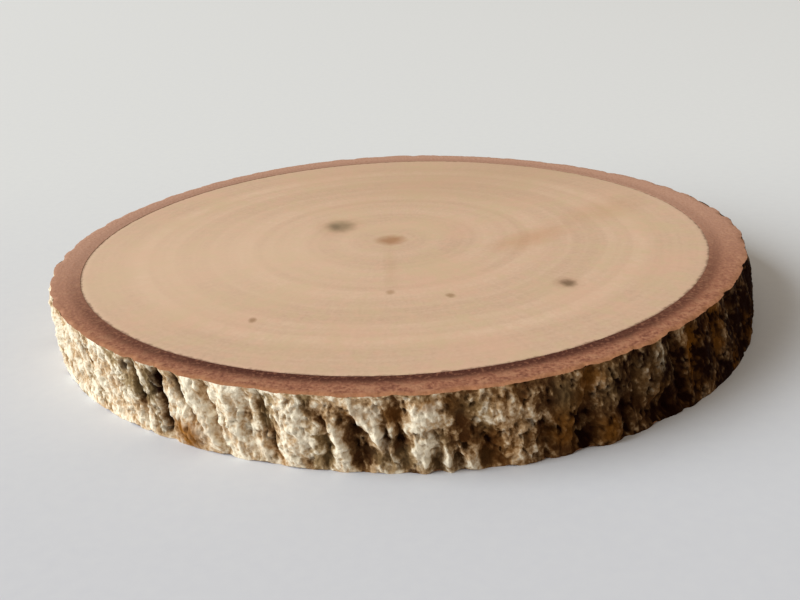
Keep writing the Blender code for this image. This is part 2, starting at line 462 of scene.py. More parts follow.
@dataclass(frozen=True)
class CoatRules:
    """How strongly each cause brings out or takes away a coat, and the levels between which it does.

    Furrow depths are in metres, and the crust by rise is for each mm that a place stands out.
    """

    wide_crust: float = 0.60
    fleck_crust: float = 0.55
    rise_crust: float = 0.50
    patch_crust: float = 0.8
    patch_bare: float = 0.9
    furrow_bare: float = 0.5
    bare_depths: Range = (0.1 * MM, 0.9 * MM)
    crust_limits: Range = (-0.5, 1.2)
    # The dark rules below paint shade into furrows, patches, hollows, gaps and the side away from the light
    furrow_dark: float = 0.30
    dark_depths: Range = (0.75 * MM, 1.60 * MM)
    patch_dark: float = 0.9
    painted_side_shade: float = 1.05
    wide_pale: float = 0.9
    painted_side_shade_limits: Range = (0.5, 1.25)
    trough_dark: float = 1.35
    crest_pale: float = 0.8
    hollow_dark: float = 0.50
    gap_dark: float = 0.40
    crust_pale: float = 0.65
    patch_amber: float = 0.8
    spread_amber: float = 0.2
    spread_levels: Range = (0.28, 0.55)
    # The damp amber is partly a warm tint of painted shade on the side away from the light
    damp_and_shade_amber: float = 0.6
    damp_and_shade_amber_levels: Range = (0.0, 0.45)
    least_damp_and_shade_amber: float = 0.12
    amber_pale: float = 0.3
    moss_strength: float = 0.8
    moss_levels: Range = (0.1, 0.4)
    crest_mean: float = 0.5
    lump_crest: float = 0.8
    ridge_crest: float = 0.35
    grain_crest: float = 0.9
    damp_flat: float = 0.5


@dataclass(frozen=True)
class BarkRelief:
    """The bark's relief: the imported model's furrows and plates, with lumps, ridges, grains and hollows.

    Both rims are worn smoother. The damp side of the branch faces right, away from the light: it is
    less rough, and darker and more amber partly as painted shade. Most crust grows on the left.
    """

    shape: SliceShape
    rest: RestOfBark = RestOfBark()
    rules: CoatRules = CoatRules()
    bend: float = 0.45 * MM
    bend_noise: NoiseField = NoiseField(3.6 * MM, (5.3, 1.9, 4.4))
    jag: float = 0.35 * MM
    jag_noise: NoiseField = NoiseField(0.9 * MM, (2.7, 8.1, 6.3))
    rough: float = 0.30 * MM
    rough_noise: NoiseField = NoiseField(2.6 * MM, (11.5, 2.3, 8.9), 2.2)
    plate_level: float = 0.15 * MM
    rim_share: float = 0.38
    rim_drop: float = 2.0 * MM
    foot_share: float = 0.32
    foot_rise: float = 2.0 * MM
    detail_share: float = 0.12
    detail_drop: float = 1.2 * MM
    damp_wear: float = 0.35
    lump: float = 0.20 * MM
    lump_noise: NoiseField = NoiseField(1.25 * MM, (4.2, 6.6, 1.3), 1.7)
    ridge: float = 0.24 * MM
    ridge_top: float = 0.5
    ridge_slope: float = 2.2
    ridge_under_crust: float = 0.5
    ridge_noise: NoiseField = NoiseField(0.95 * MM, (2.6, 9.7, 4.8), 4.5)
    grain: float = 0.26 * MM
    grain_reach: float = 0.8
    least_grain: float = 0.3
    bare_grain: float = 0.8
    grain_noise: NoiseField = NoiseField(0.62 * MM, (9.1, 3.4, 2.2), 1.15)
    gap: float = 0.10 * MM
    gap_reach: Range = (0.42, 0.72)
    gap_levels: Range = (-0.25, 0.35)
    hollow: float = 0.40 * MM
    hollow_levels: Range = (0.30, 0.75)
    hollow_noise: NoiseField = NoiseField(1.15 * MM, (1.4, 9.2, 5.6), 1.5)
    cover_noise: NoiseField = NoiseField(3.2 * MM, (6.8, 4.9, 7.5), 1.5)
    fleck_noise: NoiseField = NoiseField(1.1 * MM, (3.3, 5.5, 9.9), 1.5)
    amber_noise: NoiseField = NoiseField(5.0 * MM, (8.8, 7.1, 2.9))
    moss_noise: NoiseField = NoiseField(4.2 * MM, (1.9, 3.7, 6.1))
    crust_by_bearing: tuple[Range, ...] = (
        (-150.0, 1.02), (-125.0, 1.00), (-112.0, 1.28), (-95.0, 0.84), (-85.0, 0.54), (-75.0, 0.12),
        (-65.0, -0.02), (-45.0, -0.30), (0.0, -0.35), (60.0, 0.05), (120.0, 0.45), (170.0, 0.75),
    )
    # Also how much painted shade darkens each side: most on the right, away from the light
    damp_and_shade_by_bearing: tuple[Range, ...] = (
        (-80.0, 0.0), (-62.0, 0.40), (-45.0, 0.82), (-15.0, 0.90), (20.0, 0.60), (60.0, 0.10), (90.0, 0.0),
    )

    def crust_cover(self, spots: Spots) -> np.ndarray:
        """How much crust grows on each side of the slice."""
        return np.interp(spots.bearing, *zip(*self.crust_by_bearing), period=360.0)

    def damp_and_shade(self, spots: Spots) -> np.ndarray:
        """How damp each side of the slice was, which also sets its painted shade away from the light."""
        return np.interp(spots.bearing, *zip(*self.damp_and_shade_by_bearing), period=360.0)

    def read(self, spots: Spots) -> BarkSurface:
        """Works out the bark's surface.

        Args:
            spots: Places on the bark.

        Returns:
            The rise and the coats at each place.
        """
        rest_furrows, rest_plates = self.rest.draw()
        bend = self.bend * self.bend_noise.level(spots) + self.jag * self.jag_noise.level(spots)
        bent = Spots(spots.bearing + np.degrees(bend / BARK_RADIUS), spots.height)
        furrow = strongest(FURROWS + rest_furrows, bent) * MM
        swelling = strongest(SWELLINGS + rest_plates, bent) * MM
        share = self.worn_share(spots.height)
        rough = self.rough * self.rough_noise.level(spots)
        form = self.plate_level + share * (rough + swelling - furrow)
        coats = self.coats(bent, form, share * furrow)
        return BarkSurface(form + self.worn_detail(spots, bent, coats), coats)

    def worn_detail(self, spots: Spots, bent: Spots, coats: dict[Coat, np.ndarray]) -> np.ndarray:
        """Works out the lumps, ridges, grains, gaps and hollows, and what they do to the coats.

        Args:
            spots: Places on the bark.
            bent: The same places, with their bearings bent.
            coats: The coats at each place, which get the crests and the painted shade of hollows and gaps
                here.

        Returns:
            The rise of the detail at each place.
        """
        rules = self.rules
        lump = self.lump_noise.rough(bent)
        ridge = self.ridge_top - self.ridge_slope * np.abs(self.ridge_noise.rough(bent))
        distance, lot = self.grain_noise.cells(spots)
        peak = self.least_grain + (1.0 - self.least_grain) * lot
        grain = (1.0 - smooth(distance, 0.0, self.grain_reach)) * peak - self.least_grain
        hollow_level = self.hollow_noise.rough(bent)
        hollow = smooth(hollow_level, *self.hollow_levels)
        gap = smooth(distance, *self.gap_reach) * smooth(hollow_level, *self.gap_levels)

        crust = np.clip(coats[Coat.CRUST], 0.0, 1.0)
        damp_and_shade = self.damp_and_shade(bent)
        crest = rules.lump_crest * lump + rules.ridge_crest * ridge + rules.grain_crest * grain
        crest = np.clip(rules.crest_mean + (1.0 - rules.damp_flat * damp_and_shade) * crest, 0.0, 1.0)
        # Painted shade: darker away from the crests in the dark patches, and in hollows and gaps
        painted_shade = coats[Coat.PAINTED_SHADE] * (rules.trough_dark - rules.crest_pale * crest)
        painted_shade += (rules.hollow_dark * hollow + rules.gap_dark * gap) * (1.0 - rules.crust_pale * crust)
        coats[Coat.CREST] = crest
        coats[Coat.PAINTED_SHADE] = np.clip(painted_shade, 0.0, 1.0)

        detail = self.lump * lump + self.ridge * ridge * (1.0 - self.ridge_under_crust * crust)
        detail += self.grain * grain * (self.bare_grain + (1.0 - self.bare_grain) * crust)
        detail -= self.hollow * hollow + self.gap * gap
        from_rims = np.minimum(self.shape.thickness - spots.height, spots.height)
        worn = self.detail_share + (1.0 - self.detail_share) * smooth(from_rims, 0.0, self.detail_drop)
        return worn * (1.0 - self.damp_wear * damp_and_shade) * detail

    def worn_share(self, height: np.ndarray) -> np.ndarray:
        """Works out how much of the furrows and plates the wear at both rims leaves.

        Args:
            height: Heights on the bark.

        Returns:
            The share that is left at each height.
        """
        below = np.clip((self.shape.thickness - height) / self.rim_drop, 0.0, 1.0)
        above = np.clip(height / self.foot_rise, 0.0, 1.0)
        upper = self.rim_share + (1.0 - self.rim_share) * below * (2.0 - below)
        return upper * (self.foot_share + (1.0 - self.foot_share) * above * (2.0 - above))

    def coats(self, spots: Spots, form: np.ndarray, furrow: np.ndarray) -> dict[Coat, np.ndarray]:
        """Works out how much of each coat covers the bark, before its fine detail.

        Args:
            spots: Places on the bark, with their bearings bent.
            form: The rise of the furrows and plates.
            furrow: The depth of the furrow at each place.

        Returns:
            How much of each coat is at each place: 0 is none and 1 is full cover.
        """
        rules = self.rules
        patches = {coat: strongest(forms, spots) for coat, forms in PATCHES.items()}
        wide = self.cover_noise.level(spots)
        damp_and_shade = self.damp_and_shade(spots)
        cover = self.crust_cover(spots)
        crust = cover + rules.wide_crust * wide + rules.fleck_crust * self.fleck_noise.level(spots)
        crust += rules.rise_crust * form / MM + rules.patch_crust * patches[Coat.CRUST]
        crust -= rules.patch_bare * patches[Coat.BARE]
        crust -= rules.furrow_bare * smooth(furrow, *rules.bare_depths)

        field = self.amber_noise.level(spots)
        # A warm amber tint on the side away from the light, partly painted shade
        amber = rules.patch_amber * patches[Coat.AMBER] + rules.least_damp_and_shade_amber * damp_and_shade
        amber += rules.spread_amber * smooth(field, *rules.spread_levels)
        amber += rules.damp_and_shade_amber * smooth(field, *rules.damp_and_shade_amber_levels) * damp_and_shade
        amber = np.clip(amber, 0.0, 1.0)

        # Painted shade in deep furrows and in the dark patches
        painted_shade = rules.furrow_dark * smooth(furrow, *rules.dark_depths)
        painted_shade = np.maximum(painted_shade, rules.patch_dark * patches[Coat.PAINTED_SHADE])
        # Painted shade: the side away from the light darkened towards near black
        painted_side_shade = damp_and_shade * np.clip(rules.painted_side_shade - rules.wide_pale * wide, *rules.painted_side_shade_limits)
        painted_shade = np.maximum(painted_shade, painted_side_shade) * (1.0 - rules.amber_pale * amber)
        moss = smooth(self.moss_noise.level(spots), *rules.moss_levels) * np.clip(cover, 0.0, 1.0)
        moss = np.clip(rules.moss_strength * (patches[Coat.MOSS] + moss), 0.0, 1.0)
        crust = np.clip(crust, *rules.crust_limits)
        return {Coat.CRUST: crust, Coat.PAINTED_SHADE: painted_shade, Coat.AMBER: amber, Coat.MOSS: moss}


class Side(Enum):
    """The stretches of a piece's section, in the order in which they follow each other."""

    UPPER_FACE = 0
    OUTSIDE = 1
    LOWER_FACE = 2


@dataclass(frozen=True)
class SectionPoint:
    """A point of a piece's section: its side, its share of the way out from 0 to 1, and its height."""

    side: Side
    share: float
    height: float
    corner: bool = False


class RoundPiece:
    """A closed piece rolled up from a grid: columns go round the slice and rows follow a section."""

    def __init__(
        self,
        name: str,
        columns: int,
        section: Sequence[SectionPoint],
        start: float = -180.0,
        turn: float = 360.0,
    ) -> None:
        """Makes the grid.

        Args:
            name: The piece's name.
            columns: How many columns the grid has.
            section: The points of the section, in order. A ring's last one repeats its first.
            start: The bearing of the first column, in degrees.
            turn: How far round the columns go, in degrees.
        """
        self.name = name
        self.section = list(section)
        self.grid = bmesh.new()
        self.uv = self.grid.loops.layers.uv.new(BAKE_UV)
        self.rows = len(self.section) - 1
        bmesh.ops.create_grid(
            self.grid, x_segments=columns, y_segments=self.rows, size=0.5, matrix=Matrix.Identity(4),
            calc_uvs=True,
        )
        self.grid.verts.ensure_lookup_table()
        self.grid.verts.index_update()
        across = np.array([vertex.co.xy for vertex in self.grid.verts]) + 0.5
        self.column = np.rint(across[:, 0] * columns).astype(int)
        self.row = np.rint(across[:, 1] * self.rows).astype(int)
        height = np.array([point.height for point in self.section])[self.row]
        self.spots = Spots(start + turn * self.column / columns, height)
        self.share = np.array([point.share for point in self.section])[self.row]
        self.side = np.array([point.side.value for point in self.section])[self.row]
        self.corner = np.array([point.corner for point in self.section])[self.row]

    def on(self, side: Side) -> np.ndarray:
        """Which of the grid's vertices are on one side of the section."""
        return self.side == side.value

    def keep(self, name: str, values: np.ndarray) -> None:
        """Keeps a number for each vertex as an attribute that materials can read.

        Args:
            name: The attribute's name.
            values: The number for each vertex.
        """
        layer = self.grid.verts.layers.float.new(name)
        for vertex, value in zip(self.grid.verts, values):
            vertex[layer] = value

    def finish(self, points: np.ndarray, materials: Sequence[bpy.types.Material]) -> bpy.types.Object:
        """Moves the vertices to their places, closes the surface and makes the object.

        Args:
            points: X, Y and Z for each vertex of the grid.
            materials: The piece's materials, in the order of their face indices.

        Returns:
            The finished object, in the scene.
        """
        for edge in self.grid.edges:
            first, second = (vertex.index for vertex in edge.verts)
            edge.smooth = not (self.corner[first] and self.row[first] == self.row[second])
        for vertex, point in zip(self.grid.verts, points):
            vertex.co = point
        bmesh.ops.remove_doubles(self.grid, verts=self.grid.verts, dist=WELD)
        for face in self.grid.faces:
            face.smooth = True
        ends = [edge for edge in self.grid.edges if edge.is_boundary]
        for edge in ends:
            edge.smooth = False
        for face in bmesh.ops.holes_fill(self.grid, edges=ends, sides=0)["faces"]:
            face.smooth = False
        bmesh.ops.recalc_face_normals(self.grid, faces=self.grid.faces)
        mesh = bpy.data.meshes.new(self.name)
        self.grid.to_mesh(mesh)
        self.grid.free()
        for material in materials:
            mesh.materials.append(material)
        piece = bpy.data.objects.new(self.name, mesh)
        bpy.context.scene.collection.objects.link(piece)
        return piece


@dataclass(frozen=True)
class BarkArc:
    """An arc of the ring of bark, with its sawn faces and its rough outside.

    The ring is built as arcs, because one piece couldn't hold the fine relief all the way round.
    The usual width of the sawn face is in mm, and the margin is a share of the sheet for baking.
    """

    name: str
    start: float
    turn: float
    shape: SliceShape
    relief: BarkRelief
    columns: int = 1180
    levels: int = 64
    face_rows: int = 10
    lower_rows: int = 3
    strips: int = 3
    margin: float = 0.004
    usual_width: float = 4.5
    front_bearing: float = -86.0
    rim_wear: float = 0.30 * MM
    least_rim_wear: float = 0.25
    foot_wear: float = 0.22 * MM
    wear_levels: Range = (-0.1, 0.6)
    wear_noise: NoiseField = NoiseField(1.6 * MM, (2.2, 7.4, 5.1))

    def section(self) -> list[SectionPoint]:
        """Lists the ring's section: out over the upper face, down the outside and back in underneath.

        Returns:
            The points, from the seam's upper edge round and back to it.
        """
        top, out, down, back = self.shape.thickness, self.face_rows, self.levels, self.lower_rows
        upper = [SectionPoint(Side.UPPER_FACE, i / out, top, i == 0) for i in range(out)]
        outside = [
            SectionPoint(Side.OUTSIDE, 1.0, top * (1 - i / down), i in (0, down)) for i in range(down + 1)
        ]
        lower = [SectionPoint(Side.LOWER_FACE, 1 - i / back, 0.0, i == back) for i in range(1, back + 1)]
        return [*upper, *outside, *lower, SectionPoint(Side.UPPER_FACE, 0.0, top, True)]

    def build(self, sawn: bpy.types.Material, weathered: bpy.types.Material) -> bpy.types.Object:
        """Builds the arc.

        Args:
            sawn: The finish of the sawn faces.
            weathered: The finish of the outside.

        Returns:
            The finished piece.
        """
        piece = RoundPiece(self.name, self.columns, self.section(), self.start, self.turn)
        outside = piece.on(Side.OUTSIDE)
        outer = self.relief.read(Spots(piece.spots.bearing[outside], piece.spots.height[outside]))
        points = self.points(piece, outer)
        for coat, values in outer.coats.items():
            spread = np.zeros(len(points))
            spread[outside] = values
            piece.keep(coat.value, spread)
        self.keep_distances(piece, points)
        for face in piece.grid.faces:
            face.material_index = int(all(outside[vertex.index] for vertex in face.verts))
        self.lay_out(piece)
        return piece.finish(points, (sawn, weathered))

    def points(self, piece: RoundPiece, outer: BarkSurface) -> np.ndarray:
        """Works out the places of the ring's vertices, with the worn rims.

        Args:
            piece: The ring's grid.
            outer: The surface of the outside.

        Returns:
            X, Y and Z for each vertex.
        """
        inner = self.shape.seam(piece.spots)
        outside = self.shape.outside(piece.spots, self.spread_over_columns(piece, outer))
        points = inner + piece.share[:, None] * (outside - inner)
        wear = smooth(self.wear_noise.level(piece.spots), *self.wear_levels)
        rim = piece.on(Side.OUTSIDE) & (piece.spots.height == self.shape.thickness)
        foot = piece.on(Side.OUTSIDE) & (piece.spots.height == 0.0)
        points[rim, 2] -= self.rim_wear * (self.least_rim_wear + wear[rim])
        points[foot, 2] += self.foot_wear * wear[foot]
        return points

    def spread_over_columns(self, piece: RoundPiece, outer: BarkSurface) -> np.ndarray:
        """Works out which rise each vertex follows.

        Args:
            piece: The ring's grid.
            outer: The surface of the outside.

        Returns:
            A vertex's own rise on the outside, and that of its column's rim on the faces.
        """
        rise = np.zeros_like(piece.share)
        rise[piece.on(Side.OUTSIDE)] = outer.rise
        for face, height in ((Side.UPPER_FACE, self.shape.thickness), (Side.LOWER_FACE, 0.0)):
            edge = piece.on(Side.OUTSIDE) & (piece.spots.height == height)
            by_column = np.zeros(self.columns + 1)
            by_column[piece.column[edge]] = rise[edge]
            rise[piece.on(face)] = by_column[piece.column[piece.on(face)]]
        return rise

    def keep_distances(self, piece: RoundPiece, points: np.ndarray) -> None:
        """Keeps how far each vertex is from the seam, from the rim and from the front.

        Args:
            piece: The ring's grid.
            points: X, Y and Z for each vertex.
        """
        from_seam = np.linalg.norm((points - self.shape.seam(piece.spots))[:, :2], axis=1) / MM
        width = np.full_like(from_seam, self.usual_width)
        np.divide(from_seam, piece.share, out=width, where=piece.share > 0.0)
        turned = np.radians(piece.spots.bearing - self.front_bearing)
        piece.keep("seam_distance", from_seam)
        piece.keep("rim_distance", np.where(piece.on(Side.OUTSIDE), 0.0, width - from_seam))
        piece.keep("front_share", 0.5 + 0.5 * np.cos(turned))

    def lay_out(self, piece: RoundPiece) -> None:
        """Lays the ring out for baking as strips, one above the other, each a part of the way round.

        Args:
            piece: The ring's grid.
        """
        width = BARK_RADIUS - self.shape.seam_radius
        along = [0.0]
        for last, point in zip(piece.section, piece.section[1:-1]):
            along.append(along[-1] + abs(point.share - last.share) * width + abs(point.height - last.height))
        # The wall at the seam can't be seen, so it gets little room
        along.append(along[-1] + width / 4)
        for face in piece.grid.faces:
            strip = int((face.calc_center_median().x + 0.5) * self.strips)
            for loop in face.loops:
                u = (loop.vert.co.x + 0.5) * self.strips - strip
                v = along[round((loop.vert.co.y + 0.5) * piece.rows)] / along[-1]
                loop[piece.uv].uv = (
                    self.margin + u * (1 - 2 * self.margin),
                    strip / self.strips + self.margin + v * (1 / self.strips - 2 * self.margin),
                )


@dataclass(frozen=True)
class Mark:
    """An oval mark in the sanded face. Its place, half sizes and dip are in mm, its turn in degrees."""

    x: float
    y: float
    half_length: float
    half_width: float
    turn: float
    colour: str
    strength: float
    softness: float
    dip: float = 0.0

    def carve(self, points: np.ndarray) -> np.ndarray:
        """Works out how deep the mark's dip is.

        Args:
            points: X, Y and Z for each point of the face.

        Returns:
            The depth at each point.
        """
        turn = math.radians(self.turn)
        away = points[:, :2] / MM - np.array((self.x, self.y))
        along = (away[:, 0] * math.cos(turn) + away[:, 1] * math.sin(turn)) / self.half_length
        across = (away[:, 1] * math.cos(turn) - away[:, 0] * math.sin(turn)) / self.half_width
        return self.dip * MM * np.exp(-(along**2) - across**2)


# Painted light at left, painted shade at back, two warm stains, a streak, the pith, two knots, three specks
MARKS = (
    # Painted light: a pale cloud on the left, where the light falls strongest
    Mark(-30.0, -6.0, 30.0, 24.0, 0, "#E0C2A6", 0.5, 1.0),
    # Painted shade: a dark cloud at the back, where the light falls weakest
    Mark(15.0, 34.0, 38.0, 20.0, 0, "#B99A7C", 0.45, 1.0),
    Mark(19.5, -2.4, 8.5, 3.4, 38, "#BC8A62", 0.40, 0.95),
    Mark(33.0, 9.6, 10.0, 4.6, 42, "#B98F66", 0.30, 0.95),
    Mark(-1.6, -11.5, 10.5, 1.1, 90, "#B08A66", 0.16, 0.95),
    Mark(-9.2, 7.9, 4.4, 4.6, 8, "#BF9272", 0.35, 0.9),
    Mark(-1.3, -0.1, 2.5, 2.4, 28, "#9A6238", 0.66, 0.8, 0.10),
    Mark(-9.2, 7.8, 2.6, 3.2, 8, "#786A50", 0.66, 0.8, 0.12),
    Mark(-10.2, 7.8, 1.0, 1.8, 0, "#57503C", 0.35, 0.9),
    Mark(21.9, -21.0, 2.2, 2.2, 10, "#9A7250", 0.35, 0.9),
    Mark(21.9, -21.0, 1.2, 1.5, 10, "#543D26", 0.65, 0.75, 0.10),
    Mark(-19.1, -28.45, 0.6, 0.9, 0, "#8C6846", 0.65, 0.7),
    Mark(6.1, -23.45, 0.7, 0.9, 20, "#8C6846", 0.6, 0.7),
    Mark(-1.7, -21.35, 0.7, 0.9, 0, "#96724E", 0.5, 0.7),
)


@dataclass(frozen=True)
class WoodRound:
    """The sanded wood inside the bark, a little hollow at the pith and the knots.

    For baking, the faces lie in opposite corners of the sheet, with radii in shares of it.
    """

    shape: SliceShape
    marks: tuple[Mark, ...] = MARKS
    columns: int = 360
    face_rows: int = 80
    lower_rows: int = 8
    edge_wear: float = 0.05 * MM
    upper_baked: float = 0.33
    lower_baked: float = 0.24
    margin: float = 0.005

    def section(self) -> list[SectionPoint]:
        """Lists the round's section.

        Returns:
            Points from the middle of the upper face out, down and back to the middle of the lower one.
        """
        top, out, back = self.shape.thickness, self.face_rows, self.lower_rows
        upper = [SectionPoint(Side.UPPER_FACE, i / out, top, i == out) for i in range(out + 1)]
        lower = [SectionPoint(Side.LOWER_FACE, 1 - i / back, 0.0, i == 0) for i in range(back + 1)]
        return [*upper, *lower]

    def build(self, sanded: bpy.types.Material) -> bpy.types.Object:
        """Builds the round.

        Args:
            sanded: The finish of the wood.

        Returns:
            The finished piece.
        """
        piece = RoundPiece("sanded_wood_round", self.columns, self.section())
        points = self.shape.seam(piece.spots, 1.0 - piece.share)
        upper = piece.on(Side.UPPER_FACE)
        for mark in self.marks:
            points[upper, 2] -= mark.carve(points[upper])
        points[upper & (piece.share == 1.0), 2] -= self.edge_wear
        piece.keep("edge_distance", (1.0 - piece.share) * self.shape.seam_radius / MM)
        self.lay_out(piece)
        return piece.finish(points, (sanded,))

    def lay_out(self, piece: RoundPiece) -> None:
        """Lays the upper face out large for baking, and the lower face with the wall about it.

        Args:
            piece: The round's grid.
        """
        for face in piece.grid.faces:
            lower = (face.calc_center_median().y + 0.5) * piece.rows > self.face_rows
            radius = self.lower_baked if lower else self.upper_baked
            middle = 1 - self.margin * 2 - radius if lower else self.margin + radius
            for loop in face.loops:
                point = piece.section[round((loop.vert.co.y + 0.5) * piece.rows)]
                turned = math.tau * (loop.vert.co.x + 0.5)
                reach = radius * point.share
                if lower and point.side is Side.UPPER_FACE:
                    reach = radius + self.margin
                down = -reach if lower else reach
                loop[piece.uv].uv = (middle + reach * math.cos(turned), middle + down * math.sin(turned))


@dataclass(frozen=True)
class Finish:
    """A dry surface: how rough it is, how much it shines, and how strong and deep its fine relief is."""

    name: str
    roughness: float
    shine: float
    relief: float = 0.0
    relief_depth: float = 0.1 * MM

    def build(self) -> bpy.types.Material:
        """Makes the material.

        Returns:
            The material, with the colour and the fine relief of its own kind.
        """
        material = bpy.data.materials.new(self.name)
        material.use_nodes = True
        tree = material.node_tree
        tree.nodes.clear()
        place = add_node(tree, "TexCoord").outputs["Object"]
        colour, height = self.surface(tree, place)
        inputs = {"Base Color": colour, "Roughness": self.roughness, "Specular IOR Level": self.shine}
        if self.relief:
            grain = {"Height": height, "Strength": self.relief, "Distance": self.relief_depth}
            inputs["Normal"] = add_node(tree, "Bump", {}, grain).outputs[0]
        shader = add_node(tree, "BsdfPrincipled", {}, inputs)
        add_node(tree, "OutputMaterial", {}, {"Surface": shader.outputs[0]})
        return material

    def surface(self, tree: Tree, place: Socket) -> tuple[Socket, Socket]:
        """The sockets of the colour and of the relief's height at a place."""
        raise NotImplementedError


@dataclass(frozen=True)
class SandedEndGrain(Finish):
    """Bare end grain of a pale, even hardwood such as birch, sanded: soft sheen, faint rings, no gloss.

    Rings, rays and pores give a tone from early to late wood. Rays and pores are drawn coarser than
    life, to show. The blotches are soft clouds of other tints, each with a pitch in mm, and the dark
    layer under the bark stains the last half millimetre of the wood, in small teeth.
    """

    name: str = "sanded_end_grain"
    roughness: float = 0.75
    shine: float = 0.15
    relief: float = 0.08
    marks: tuple[Mark, ...] = MARKS
    pith: tuple[float, float] = (-1.5 * MM, 0.15 * MM)
    early: str = "#DDBEA3"
    late: str = "#BC9B82"
    tone: float = 0.42
    rings: tuple[Range, ...] = ((2.6 * MM, 0.45), (0.8 * MM, 0.22), (6.5 * MM, 1.05))
    waver: float = 1.6 * MM
    waver_pitch: float = 16.0 * MM
    ray: float = 0.28
    ray_width: float = 0.5 * MM
    ray_length: float = 3.5 * MM
    ray_radius: float = 30.0 * MM
    pore: float = 0.55
    pore_pitch: float = 0.45 * MM
    blotches: tuple[tuple[float, float, str], ...] = (
        (11.0, 0.55, "#D8B096"), (8.8, 0.50, "#CCB491"), (1.4, 0.45, "#D8B096"), (1.82, 0.45, "#CCB491"),
    )
    blotch_levels: Range = (0.45, 0.70)
    mark_wander: float = 0.7
    mark_wander_scale: float = 1.3
    mark_fade: float = 0.35
    seam: str = "#6A4636"
    seam_stain: float = 0.75
    stain_levels: Range = (0.05, -0.45)
    tooth: float = 0.8

    def surface(self, tree: Tree, place: Socket) -> tuple[Socket, Socket]:
        """Lays blotches, marks and the stain at the seam over the grain.

        Args:
            tree: The material's node tree.
            place: Where on the wood the surface is read.

        Returns:
            The colour and the relief's height.
        """
        tone = self.grain(tree, place)
        colours = {6: linear(self.early), 7: linear(self.late)}
        colour = add_node(tree, "Mix", {"data_type": "RGBA"}, {0: tone, **colours}).outputs[2]
        for pitch, most, tint in self.blotches:
            inputs = {"Vector": place, "W": pitch, "Scale": 1 / (pitch * MM), "Detail": 2.0}
            cloud = add_node(tree, "TexNoise", {"noise_dimensions": "4D"}, inputs).outputs["Fac"]
            colour = lay_tint(tree, colour, cloud, self.blotch_levels, most, tint)
        for mark in self.marks:
            reach = (1.0 + self.mark_fade * mark.softness, 1.0 - mark.softness)
            distance = self.from_mark(tree, place, mark)
            colour = lay_tint(tree, colour, distance, reach, mark.strength, mark.colour)
        edge = add_node(tree, "Attribute", {"attribute_name": "edge_distance"}).outputs["Fac"]
        inputs = {"Vector": place, "Scale": 1 / (self.tooth * MM), "Detail": 2.0}
        teeth = add_node(tree, "TexNoise", {}, inputs)
        edge = add_up(tree, edge, ((teeth.outputs["Fac"], -self.tooth),))
        return lay_tint(tree, colour, edge, self.stain_levels, self.seam_stain, self.seam), tone

    def grain(self, tree: Tree, place: Socket) -> Socket:
        """Draws faint year rings and broader bands about the pith, rays that run out from it, and pores.

        Args:
            tree: The material's node tree.
            place: Where on the wood the grain is read.

        Returns:
            A tone from 0 for early wood to 1 for late wood.
        """
        inputs = {"Vector": place, "Scale": 1 / self.waver_pitch, "Detail": 2.0}
        waver = add_node(tree, "TexNoise", {}, inputs)
        inputs = {0: waver.outputs["Color"], 1: (self.waver,) * 3, 2: place}
        shift = add_node(tree, "VectorMath", {"operation": "MULTIPLY_ADD"}, inputs)
        centre = (self.pith[0] + self.waver * NOISE_MEAN, self.pith[1] + self.waver * NOISE_MEAN, 0.0)
        away = add_node(tree, "VectorMath", {"operation": "SUBTRACT"}, {0: shift.outputs[0], 1: centre})
        inputs = {0: away.outputs[0], 1: (1.0, 1.0, 0.0)}
        flat = add_node(tree, "VectorMath", {"operation": "MULTIPLY"}, inputs).outputs[0]
        radius = add_node(tree, "VectorMath", {"operation": "LENGTH"}, {0: flat}).outputs["Value"]
        parts = []
        for pitch, weight in self.rings:
            turns = add_node(tree, "Math", {"operation": "DIVIDE"}, {0: radius, 1: pitch}).outputs[0]
            inputs = {"W": turns, "Scale": 1.0, "Detail": 1.0}
            ring = add_node(tree, "TexNoise", {"noise_dimensions": "1D"}, inputs)
            parts.append((ring.outputs["Fac"], weight))

        outwards = add_node(tree, "VectorMath", {"operation": "NORMALIZE"}, {0: flat})
        inputs = {0: outwards.outputs[0], "Scale": self.ray_radius / self.ray_width}
        turns = add_node(tree, "VectorMath", {"operation": "SCALE"}, inputs)
        along = add_node(tree, "Math", {"operation": "DIVIDE"}, {0: radius, 1: self.ray_length})
        rise = add_node(tree, "CombineXYZ", {}, {"Z": along.outputs[0]})
        spot = add_node(tree, "VectorMath", {"operation": "ADD"}, {0: turns.outputs[0], 1: rise.outputs[0]})
        rays = add_node(tree, "TexNoise", {}, {"Vector": spot.outputs[0], "Scale": 1.0, "Detail": 1.0})
        pores = add_node(tree, "TexNoise", {}, {"Vector": place, "Scale": 1 / self.pore_pitch, "Detail": 2.0})
        parts += [(rays.outputs["Fac"], self.ray), (pores.outputs["Fac"], self.pore)]
        return add_up(tree, self.tone - NOISE_MEAN * sum(weight for _, weight in parts), parts)

    def from_mark(self, tree: Tree, place: Socket, mark: Mark) -> Socket:
        """Measures how far a place is from a mark's middle.

        Args:
            tree: The material's node tree.
            place: The place.
            mark: The mark.

        Returns:
            The distance, which is about 1 at the mark's uneven outline.
        """
        inputs = {
            "Vector": place,
            "Location": (mark.x * MM, mark.y * MM, 0.0),
            "Rotation": (0.0, 0.0, math.radians(mark.turn)),
            "Scale": (mark.half_length * MM, mark.half_width * MM, 1.0),
        }
        within = add_node(tree, "Mapping", {"vector_type": "TEXTURE"}, inputs).outputs[0]
        inputs = {"Vector": within, "Scale": self.mark_wander_scale, "Detail": 2.0}
        wander = add_node(tree, "TexNoise", {}, inputs)
        most = Vector((self.mark_wander, self.mark_wander, 0.0))
        inputs = {0: wander.outputs["Color"], 1: most, 2: within}
        moved = add_node(tree, "VectorMath", {"operation": "MULTIPLY_ADD"}, inputs).outputs[0]
        moved = add_node(tree, "VectorMath", {"operation": "SUBTRACT"}, {0: moved, 1: most * NOISE_MEAN})
        return add_node(tree, "VectorMath", {"operation": "LENGTH"}, {0: moved.outputs[0]}).outputs["Value"]


